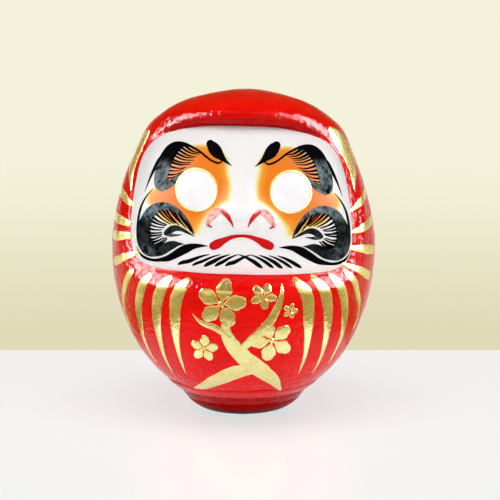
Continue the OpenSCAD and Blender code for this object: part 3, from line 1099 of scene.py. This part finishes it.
BROW_DROP = (
    (14.3, 125.1, 1.8), (13.1, 123.8, 2.45), (11.5, 122.0, 2.45), (9.7, 120.2, 1.6), (7.6, 118.3, 0.7),
    (5, 116.4, 0.12)
)
BROW_THREAD = (
    (9, 118.4, 0.3), (10.7, 117.4, 0.42), (13.4, 118.2, 0.42), (16.1, 119.9, 0.42), (18.8, 121.9, 0.45),
    (22.2, 123.6, 0.5), (24.9, 124.6, 0.6), (28, 125.1, 0.6)
)
BROW_CURL = (
    (24.2, 125.1, 24.2, 124.7), (27.4, 125.7, 26.2, 123.4), (30.8, 125.3, 28.2, 121.5),
    (34.0, 123.1, 29.9, 119.1), (36.4, 119.4, 31.0, 116.7), (37.9, 115.6, 31.8, 114.1),
    (38.8, 111.8, 32.6, 111.6), (39.0, 108.5, 33.2, 109.3), (38.4, 106.1, 33.6, 107.6),
    (36.8, 104.7, 33.9, 106.3), (35.0, 104.4, 34.4, 105.1)
)
BROW_ROOTS = (
    (25.4, 124.1), (26.8, 123.1), (28.2, 121.9), (29.4, 120.7), (30.3, 119.4), (31.0, 117.6), (31.5, 115.8),
    (32.0, 113.9), (32.6, 112.0), (33.2, 110.1), (33.6, 108.9)
)
BROW_TIPS = (
    (17.8, 121.1), (19.6, 120.5), (20.5, 119.8), (21.2, 119.1), (21.8, 118.1), (22.8, 116.9), (23.9, 115.7),
    (25.3, 114.7), (26.5, 113.7), (27.2, 112.3), (28.0, 110.9)
)
BROW_OUTER = (
    (35.4, 119.4, 0.4), (36.6, 117.8, 0.9), (38.9, 113.9, 0.7), (41, 109.4, 0.42), (43.2, 103.6, 0.08)
)
BROW_TAIL = (
    (35.4, 106.4, 1.6), (33.2, 107.2, 1.8), (31.0, 108.4, 1.3), (28.6, 110.6, 0.7), (26.0, 113.3, 0.15)
)


# Grey on the lower brow: partly thinned ink, partly painted sheen of the side light
def brow_grey_and_sheen(x, z):
    return smooth_step((119.5 - z) / 5) * 0.9


def brow(word, side):
    shape = Shape()
    face_stroke(shape, BROW_DROP, side, 0.3, 70)
    face_stroke(shape, BROW_THREAD, side, 0.24, 71)
    lay_band(shape, face_pairs(BROW_CURL, side), on_coat, 0.27, 72, brow_grey_and_sheen)
    comb(shape, BROW_ROOTS, BROW_TIPS, 12, side, 73 + side, 0.66, 0.34, bow=0.7)
    face_stroke(shape, BROW_OUTER, side, 0.22, 74)
    # The tail is laid grey: partly thinned ink, partly painted sheen
    face_stroke(shape, BROW_TAIL, side, 0.2, 75, mark=0.8)
    shape.piece("brow_" + word, "black_paint", INK)


WHISKER = (
    (20.6, 87.2, 20.6, 87.1), (23.1, 92.2, 23.7, 91.4), (26.2, 96.3, 26.9, 94.8), (30.0, 98.9, 30.4, 96.3),
    (34.2, 99.9, 34.0, 96.4), (38.2, 99.1, 36.8, 95.2), (41.7, 96.8, 38.8, 93.1), (44.3, 93.2, 40.0, 90.2),
    (46.3, 89, 40.4, 87.6), (46.9, 85, 40.2, 85.4), (46.4, 81.1, 39.6, 83.3), (44.7, 78.0, 38.4, 81.8),
    (41.6, 76.1, 36.6, 81.4), (38.2, 76.2, 34.8, 82.2), (34.6, 77.4, 32.6, 83.4), (31, 79.8, 30, 83.9),
    (27.6, 82.0, 27.4, 83.4), (25.4, 82.8, 25.4, 82.9)
)
WHISKER_SEED = (
    (20.5, 86.2, 20.5, 86.1), (23.7, 88.3, 24.2, 87.3), (26.1, 89.7, 26.7, 88.2), (28.5, 90.6, 28.7, 88.2),
    (30.9, 90.3, 30.1, 87.6), (32.9, 89.0, 31.0, 87.0), (34.3, 87.2, 32.2, 86.5), (34.2, 86.3, 33.4, 86.1)
)
WHISKER_SEED_LOW = ((33.8, 86.6, 0.5), (31.6, 86.3, 0.75), (29.2, 86.4, 0.5), (26.4, 86.8, 0.1))
WHISKER_ROOTS = (
    (23.4, 91.4), (25.4, 94.3), (27.6, 96.3), (30, 97.3), (32.6, 97.6), (35, 97.2), (37.2, 96.1),
    (39.1, 94.3), (40.5, 92), (41.3, 89.6), (41.5, 87.3), (41.2, 85.1), (40.2, 83.1), (38.6, 81.7),
    (36.4, 81.3)
)
WHISKER_TIPS = (
    (21.2, 87.4), (21.8, 88.0), (23, 88.9), (24.6, 90), (26.4, 91), (28.4, 91.6), (30.4, 91.5), (32.2, 91),
    (33.6, 90), (34.7, 88.8), (35.3, 87.6), (35.4, 86.5), (34.9, 85.5), (33.9, 84.9), (32.7, 84.6)
)
WHISKER_OUTER = ((39.6, 105, 0.08), (42.6, 101.4, 0.3), (44.8, 97, 0.45), (46.0, 92, 0.5), (46.6, 86.5, 0.4))


# Grey high on the whisker and low at its outer end: partly thinned ink, partly painted sheen of the side
# light
def whisker_grey_and_sheen(x, z):
    high = smooth_step((z - 91) / 5)
    low = smooth_step((84 - z) / 4) * smooth_step((x - 36) / 4)
    return np.clip(0.75 * high + 0.25 * low + 0.1, 0, 1)


def whisker(word, side):
    shape = Shape()
    lay_band(shape, face_pairs(WHISKER, side), on_coat, 0.27, 80, whisker_grey_and_sheen)
    lay_band(shape, face_pairs(WHISKER_SEED, side), on_coat, 0.25, 81, whisker_grey_and_sheen, wobble=0.0)
    # The lower seed stroke is half grey: partly thinned ink, partly painted sheen
    face_stroke(shape, WHISKER_SEED_LOW, side, 0.22, 82, mark=0.4)
    comb(shape, WHISKER_ROOTS, WHISKER_TIPS, 20, side, 83 + side, 0.6, 0.62, tip_half=0.25)
    face_stroke(shape, WHISKER_OUTER, side, 0.22, 84)
    shape.piece("whisker_" + word, "black_paint", INK)


WAVE = (
    (15.0, 82.7, 15.0, 82.6), (19.1, 83.3, 18.2, 81.9), (22.6, 83.2, 21.1, 80.9), (25.7, 82.4, 24.6, 78.7),
    (28.9, 80.4, 28.4, 76.6), (32.6, 77.6, 32.1, 74.9), (36.6, 75.7, 36.2, 74.2), (40.1, 75.2, 40.4, 74.0),
    (43.5, 76.1, 44.0, 75.0), (45.8, 77.9, 46.1, 77.4), (46.8, 79.8, 46.9, 79.7)
)


def wave(word, side):
    shape = Shape()
    lay_band(shape, face_pairs(WAVE, side), on_coat, 0.27, 90)
    shape.piece("beard_wave_" + word, "black_paint", INK)


# Chin strokes as (top x, foot x, foot z, half width at the foot)
CHIN_LEFT = (
    (2.9, -7.4, 74.7, 0.85), (-2.5, -12.0, 74.4, 0.72), (-6.0, -16.6, 74.2, 0.85), (-9.8, -21.8, 74.3, 0.62),
    (-14.6, -27.9, 74.5, 0.85)
)
CHIN_RIGHT = (
    (-2.0, 7.8, 73.8, 0.85), (3.2, 12.6, 73.7, 0.7), (6.8, 16.4, 73.4, 0.8), (10.8, 20.6, 73.3, 0.62),
    (14.6, 24.6, 73.2, 0.8)
)


def beard_strokes():
    shape = Shape()
    for k, (top, foot, low, half) in enumerate(CHIN_LEFT + CHIN_RIGHT):
        high = 79.6 + FACE_TILT * top - 0.04 * abs(top)
        way = foot - top
        line = [
            (top, high, 0.18),
            (top + way * 0.3, high - 1.2, half * 0.62),
            (top + way * 0.65, high - 3.2, half),
            (top + way * 0.88, low + 0.8, half * 0.95),
            (foot, low, half * 0.5)
        ]
        lay_stroke(shape, spline(line), on_coat, 0.24 + 0.01 * (k % 4), 100 + k)
    shape.piece("beard_strokes", "black_paint", INK)


LIPS = ((0, 87.5, 0.62), (3.8, 87.0, 0.8), (7, 85.7, 1.25), (10, 84.1, 1.85), (12.0, 83.1, 1.75))
LIPS_X = -0.8


def mouth_line():
    shape = Shape()
    whole = [(-x, z, w) for x, z, w in LIPS[:0:-1]] + list(LIPS)
    lay_stroke(shape, spline(whole) + (LIPS_X, 0, 0), on_coat, 0.34, 120, wobble=0.06)
    shape.piece("mouth_line", "red_paint", RED_INK)


NOSTRIL_RED = ((3.0, 91.3, 0.12), (3.8, 93.5, 0.5), (5.2, 95.7, 0.9), (6.8, 97.1, 0.95), (8.2, 97.7, 0.7))
NOSTRIL_PINK = (
    (6.2, 97.3, 0.7), (8.4, 97.8, 1.2), (10.6, 96.9, 1.5), (12.4, 94.9, 1.4), (13.6, 92.8, 0.9),
    (14.3, 91.2, 0.3)
)
NOSTRIL_TICK = ((12.3, 91.0, 0.3), (13.3, 91.5, 0.5), (14.4, 92.4, 0.3))
# Each with how pale it is
NOSTRIL_LINES = ((NOSTRIL_PINK, 1.0), (NOSTRIL_RED, 0.0), (NOSTRIL_TICK, 0.1))
NOSTRILS_X = NOSE_X - 0.2


def nose_lines():
    shape = Shape()
    for side in SIDES.values():
        for part, (points, pale) in enumerate(NOSTRIL_LINES):
            line = face_line(points, side) + (NOSTRILS_X, 0, 0)
            lay_stroke(shape, line, on_coat, 0.26 + 0.03 * part, 130 + 3 * side + part, mark=pale)
    shape.piece("nose_lines", "red_paint", RED_INK)


# ---- gold strokes on the body

# Strokes of the robe, as (azimuth, z) from the top down, with the half width at the broadest place
ROBE = (
    (((23, 67.4), (27.2, 60), (29.4, 50), (31.2, 39.5), (34.0, 23.5)), 2.85),
    (((31.5, 68), (36.6, 60), (40.0, 50), (42.6, 38), (46.6, 22)), 2.8),
    (((40.5, 68.3), (46.4, 60), (50.8, 50), (54.2, 38.5), (56.8, 25.5)), 2.5),
    (((48.5, 69.5), (54.5, 63.5), (60.2, 56.2), (64.8, 48.5), (66.6, 41)), 2.0)
)
ROBE_LEFT_SPREAD = (1.05, 1.03, 1.06, 1.1)
ROBE_WIDTH = ((0, 0.62), (0.08, 0.84), (0.28, 1.0), (0.5, 0.92), (0.75, 0.52), (0.9, 0.25), (1, 0.03))
# The long strokes over the temples, as seen from the front, lie closer to the face on the right
TEMPLES = {
    -1: (
        (42.8, 130.6, 0.5), (44.8, 127.6, 1.4), (47.5, 122.6, 1.9), (49.6, 117, 1.7), (50.7, 111, 1.2),
        (50.4, 104.6, 0.2)
    ),
    1: (
        (39.2, 131.4, 1.2), (41.8, 128.6, 2.6), (44.8, 124.0, 2.9), (47.6, 118.2, 2.4), (49.3, 111.5, 1.5),
        (49.5, 105, 0.2)
    )
}
HOOD = (
    (((54.4, 95.4), (61.5, 98.2), (69, 101.0), (77, 103.4)), (0.1, 1.3, 1.9, 1.8)),
    (((52, 86.2), (59.5, 87.4), (68.5, 89.2), (77, 90.4)), (0.1, 1.4, 2.1, 1.9)),
    (((49, 80), (57, 79.2), (65.5, 78), (74, 76.8)), (0.1, 1.5, 2.2, 2.0)),
    (((45, 74.2), (53.2, 71), (62.7, 67.6), (70, 65.4)), (0.1, 1.3, 2.1, 1.9))
)
# On the left these strokes are higher, by so much at the face edge and at the far end, and longer
HOOD_LEFT_RISE = ((1.6, 0.6), (3.6, 1.6), (5.0, 6.4), (5.6, 6.2))
HOOD_LEFT_SPREAD = 1.03


def body_line(points, halves, side, stretch=1.0):
    """Flattens a stroke of (azimuth, z) about its middle, and returns it with its middle azimuth."""
    p = np.asarray(points, float)
    azimuth = np.radians(p[:, 0] * side * stretch)
    middle = azimuth[len(azimuth) // 2]
    x = body_radius(p[:, 1]) * (azimuth - middle)
    return spline(np.stack([x, p[:, 1], halves], axis=1)), middle


def robe_lines(word, side):
    shape = Shape()
    for k, (points, widest) in enumerate(ROBE):
        points = spline(points, 3)
        halves = widest * np.interp(np.linspace(0, 1, len(points)), *np.transpose(ROBE_WIDTH))
        stretch = ROBE_LEFT_SPREAD[k] if side < 0 else 1.0
        line, middle = body_line(points, halves, side, stretch)
        seed = 140 + 10 * side + k
        lay_stroke(shape, line, body_sheet(middle), 0.26, seed, mark=0.2 * k + 0.1, wobble=0.06)
    shape.piece("robe_lines_" + word, "gold_paint", GOLD, sharp=50)


def hood_lines(word, side):
    shape = Shape()
    temple = spline(TEMPLES[side]) * (side, 1, 1)
    lay_stroke(shape, temple, on_face, 0.26, 155 + side, mark=0.9, wobble=0.05)
    for k, (points, halves) in enumerate(HOOD):
        points = np.array(points, float)
        if side < 0:
            points[:, 1] += np.linspace(*HOOD_LEFT_RISE[k], 4)
        line, middle = body_line(points, halves, side, HOOD_LEFT_SPREAD if side < 0 else 1.0)
        seed = 160 + 10 * side + k
        lay_stroke(shape, line, body_sheet(middle), 0.26, seed, mark=0.17 * k, wobble=0.07)
    shape.piece("hood_lines_" + word, "gold_paint", GOLD, sharp=50)


# Plum spray on the front, drawn flat: boughs as (x, z, half width), flowers as (x, z, radius, turn)
BOUGHS = (
    (
        (17, 15.5, 0.9), (13, 22, 2.9), (6, 28.5, 3.8), (-1.5, 35.5, 3.5), (-7, 44, 2.6), (-7.5, 52, 1.4),
        (-6, 58, 0.3)
    ),
    ((6, 28, 1.8), (-3, 26.2, 3.4), (-12, 21.5, 3.1), (-19, 17.2, 1.9), (-24, 15.2, 0.2)),
    ((-3, 36.5, 1.2), (4, 42.5, 2.1), (11, 50, 2.0), (15.5, 59, 1.4), (17, 67, 0.15)),
    ((-6, 43, 1.0), (-12, 47.5, 1.4), (-18, 49.5, 1.0), (-22.5, 53.5, 0.2))
)
FLOWERS = (
    (-9.5, 58.5, 10.5, 0.2), (12.5, 41.5, 9.5, 0.9), (8.5, 62, 5.6, 0.5), (-17.5, 37.5, 6.2, 0.1),
    (20.5, 55, 3.4, 0.3)
)
# A petal from the heart outwards, as shares of the radius of its flower
PETAL_REACH = np.array([0.2, 0.4, 0.62, 0.76])
PETAL_HALF = np.array([0.08, 0.26, 0.34, 0.27])
PETALS = 5
BEAD_FROM = 4


def flower(shape, x, z, radius, turn, seed):
    """A blossom of round petals, with a bead in its heart if it is a big one."""
    place = body_sheet(0.0)
    for k in range(PETALS):
        a = turn + k * 2 * math.pi / PETALS
        across = x + math.sin(a) * PETAL_REACH * radius
        high = z + math.cos(a) * PETAL_REACH * radius
        line = spline(np.stack([across, high, PETAL_HALF * radius], axis=1))
        lay_stroke(shape, line, place, 0.27, seed + k, mark=0.13 * k, wobble=0.05)
    if radius > BEAD_FROM:
        lay_patch(shape, ring_of((x, z), radius * 0.12, 20, seed)[::-1], (x, z), place, 4, lift=0.4)


def front_ornament():
    shape = Shape()
    for k, bough in enumerate(BOUGHS):
        lift = 0.26 + 0.02 * k
        lay_stroke(shape, spline(bough), body_sheet(0.0), lift, 180 + k, mark=0.21 * k, wobble=0.08)
    for k, (x, z, radius, turn) in enumerate(FLOWERS):
        flower(shape, x, z, radius, turn, 190 + 10 * k)
    shape.piece("front_ornament", "gold_paint", GOLD, sharp=50)


EYE = eye_white()
RIM = rim_paint()

paper_shell()
base_weight()
ledge_strip()
back_strip()
face_coat()
for word, side in SIDES.items():
    eye(word, side)
    brow(word, side)
    whisker(word, side)
    wave(word, side)
    robe_lines(word, side)
    hood_lines(word, side)
beard_strokes()
mouth_line()
nose_lines()
front_ornament()


# ---- stage, light and camera

CAMERA_FAR = 650.0
CAMERA_RISE = math.radians(7.0)
CAMERA_AIM = 75.0
CAMERA_LENS = 100.2
CAMERA_SHIFT = (0.013, -0.0022)
CAMERA_CLIP = (0.01, 20)
TABLE_HALF = 1500.0
TABLE_BACK = 137.0
TABLE_PAINT = (0.80, 0.82, 0.84)
TABLE_GLOW = (0.21, 0.225, 0.24)
TABLE_SEEN_PAINT = (0.28, 0.28, 0.28)
TABLE_SEEN_GLOW = (0.655, 0.67, 0.68)
ROOM_DIM = (0.22, 0.10, 0.03)
ROOM_FRONT = (0.78, 0.72, 0.46)
ROOM_BACK = (1.0, 0.9, 0.8)
ROOM_SOFT = (0.12, 0.12, 0.13)
BACKDROP_HIGH = (0.90, 0.885, 0.70)
BACKDROP_LOW = (0.75, 0.70, 0.48)
CARD_NEAR = 106.0
CARD_DARK = 135.0
CARD_PALE = 240.0
CARD_FAR = 2300.0
CARD_TURN = 140
CARD_HIGH = 0.3
CARD_TINT = (0.34, 0.23, 0.055)
LAMP_TINT = (1, 0.985, 0.97)


def stage_sheet(name, corners, faces, material):
    mesh = bpy.data.meshes.new(name)
    mesh.from_pydata(corners, [], faces)
    mesh.materials.append(material)
    sheet = bpy.data.objects.new(name, mesh)
    bpy.context.scene.collection.objects.link(sheet)
    return sheet


def table():
    """A pale glossy table top, seen with weaker shadows than its soft light on the doll comes from."""
    p = Paint("table_top", Roughness=0.2, Specular_IOR_Level=0.12, Emission_Strength=1.0)
    seen = p.maths("SUBTRACT", 1.0, p.node("ShaderNodeLightPath").outputs["Is Diffuse Ray"])
    p.feed(p.shader.inputs["Base Color"], p.blend(seen, TABLE_PAINT, TABLE_SEEN_PAINT))
    p.feed(p.shader.inputs["Emission Color"], p.blend(seen, TABLE_GLOW, TABLE_SEEN_GLOW))
    wide, back = TABLE_HALF * MM, TABLE_BACK * MM
    corners = [(-wide, -wide, 0), (wide, -wide, 0), (wide, back, 0), (-wide, back, 0)]
    stage_sheet("table_top", corners, [(0, 1, 2, 3)], p.material)


def room():
    """Plain surroundings: pale low down behind and in front of the doll, dim at its sides and above it."""
    world = bpy.data.worlds.new("room")
    world.use_nodes = True
    bpy.context.scene.world = world
    n = Nodes(world.node_tree)
    # Parts of the direction looked in: y is away from the camera, z is up
    _, y, z = n.parts(n.node("ShaderNodeTexCoord").outputs["Generated"])
    ray = n.node("ShaderNodeLightPath").outputs
    behind = n.maths("MULTIPLY", n.rise(y, 0.78, 0.97), n.rise(z, 0.2, 0.02))
    ahead = n.maths("MULTIPLY", n.rise(y, -0.3, -0.8), n.rise(z, 0.42, 0.08))
    gloss = n.blend(ahead, n.blend(behind, ROOM_DIM, ROOM_BACK), ROOM_FRONT)
    lit = n.blend(ray["Is Diffuse Ray"], gloss, ROOM_SOFT)
    backdrop = n.blend(n.rise(z, -0.05, -0.19), BACKDROP_HIGH, BACKDROP_LOW)
    n.feed(n.tree.nodes["Background"].inputs[0], n.blend(ray["Is Camera Ray"], lit, backdrop))


def card_material():
    """Glows dark near the doll and as pale as the room further off; clear from behind."""
    material = bpy.data.materials.new("dark_flag")
    material.use_nodes = True
    n = Nodes(material.node_tree)
    n.tree.nodes.remove(n.tree.nodes["Principled BSDF"])
    far = n.node("ShaderNodeVectorMath", operation="LENGTH")
    n.feed(far.inputs[0], n.node("ShaderNodeTexCoord").outputs["Object"])
    fade = n.rise(far.outputs["Value"], CARD_DARK * MM, CARD_PALE * MM)
    glow = n.node("ShaderNodeEmission")
    n.feed(glow.inputs[0], n.blend(fade, CARD_TINT, ROOM_FRONT))
    choice = n.node("ShaderNodeMixShader")
    n.feed(choice.inputs[0], n.node("ShaderNodeNewGeometry").outputs["Backfacing"])
    n.feed(choice.inputs[1], glow.outputs[0])
    n.feed(choice.inputs[2], n.node("ShaderNodeBsdfTransparent").outputs[0])
    n.feed(n.tree.nodes["Material Output"].inputs[0], choice.outputs[0])
    return material


def card():
    """A sheet that lies round the doll, open behind it, and shows only in its gloss."""
    turns = np.radians(np.linspace(-CARD_TURN, CARD_TURN, 41))
    corners = [
        (r * MM * math.sin(a), -r * MM * math.cos(a), CARD_HIGH * MM)
        for r in (CARD_NEAR, CARD_FAR) for a in turns
    ]
    n = len(turns)
    faces = [(j, n + j, n + j + 1, j + 1) for j in range(n - 1)]
    sheet = stage_sheet("dark_flag", corners, faces, card_material())
    sheet.visible_camera = False
    sheet.visible_diffuse = False
    sheet.visible_shadow = False
    sheet.visible_transmission = False


def aim(thing, back):
    """Puts a lamp or the camera this way back from the middle of the doll and turns it to face that."""
    thing.location = Vector((0, 0, CAMERA_AIM)) * MM + back
    thing.rotation_mode = "QUATERNION"
    thing.rotation_quaternion = (-back).to_track_quat("-Z", "Y")
    bpy.context.scene.collection.objects.link(thing)


def softbox(name, at, size, power, gloss=True, shade=True):
    light = bpy.data.lights.new(name, "AREA")
    light.shape = "RECTANGLE"
    light.size, light.size_y = size[0] * MM, size[1] * MM
    light.energy = power
    light.color = LAMP_TINT
    lamp = bpy.data.objects.new(name, light)
    lamp.visible_glossy = gloss
    lamp.visible_diffuse = shade
    aim(lamp, (Vector(at) - Vector((0, 0, CAMERA_AIM))) * MM)


def camera():
    lens = bpy.data.cameras.new("camera")
    lens.lens = CAMERA_LENS
    lens.sensor_width = 36
    lens.shift_x, lens.shift_y = CAMERA_SHIFT
    lens.clip_start, lens.clip_end = CAMERA_CLIP
    viewer = bpy.data.objects.new("camera", lens)
    aim(viewer, Vector((0, -math.cos(CAMERA_RISE), math.sin(CAMERA_RISE))) * CAMERA_FAR * MM)
    bpy.context.scene.camera = viewer


table()
room()
card()
softbox("overhead", (0, -200, 880), (700, 500), 5.6, gloss=False)
softbox("fill", (0, -900, 90), (900, 600), 3.0, gloss=False)
for word, side in SIDES.items():
    softbox("side_" + word, (side * 620, -480, 180), (500, 500), 1.0, gloss=False)
for word, side in SIDES.items():
    softbox("window_" + word, (side * 700, -120, 460), (290, 700), 32, shade=False)
camera()
bpy.context.scene.view_settings.view_transform = "Standard"
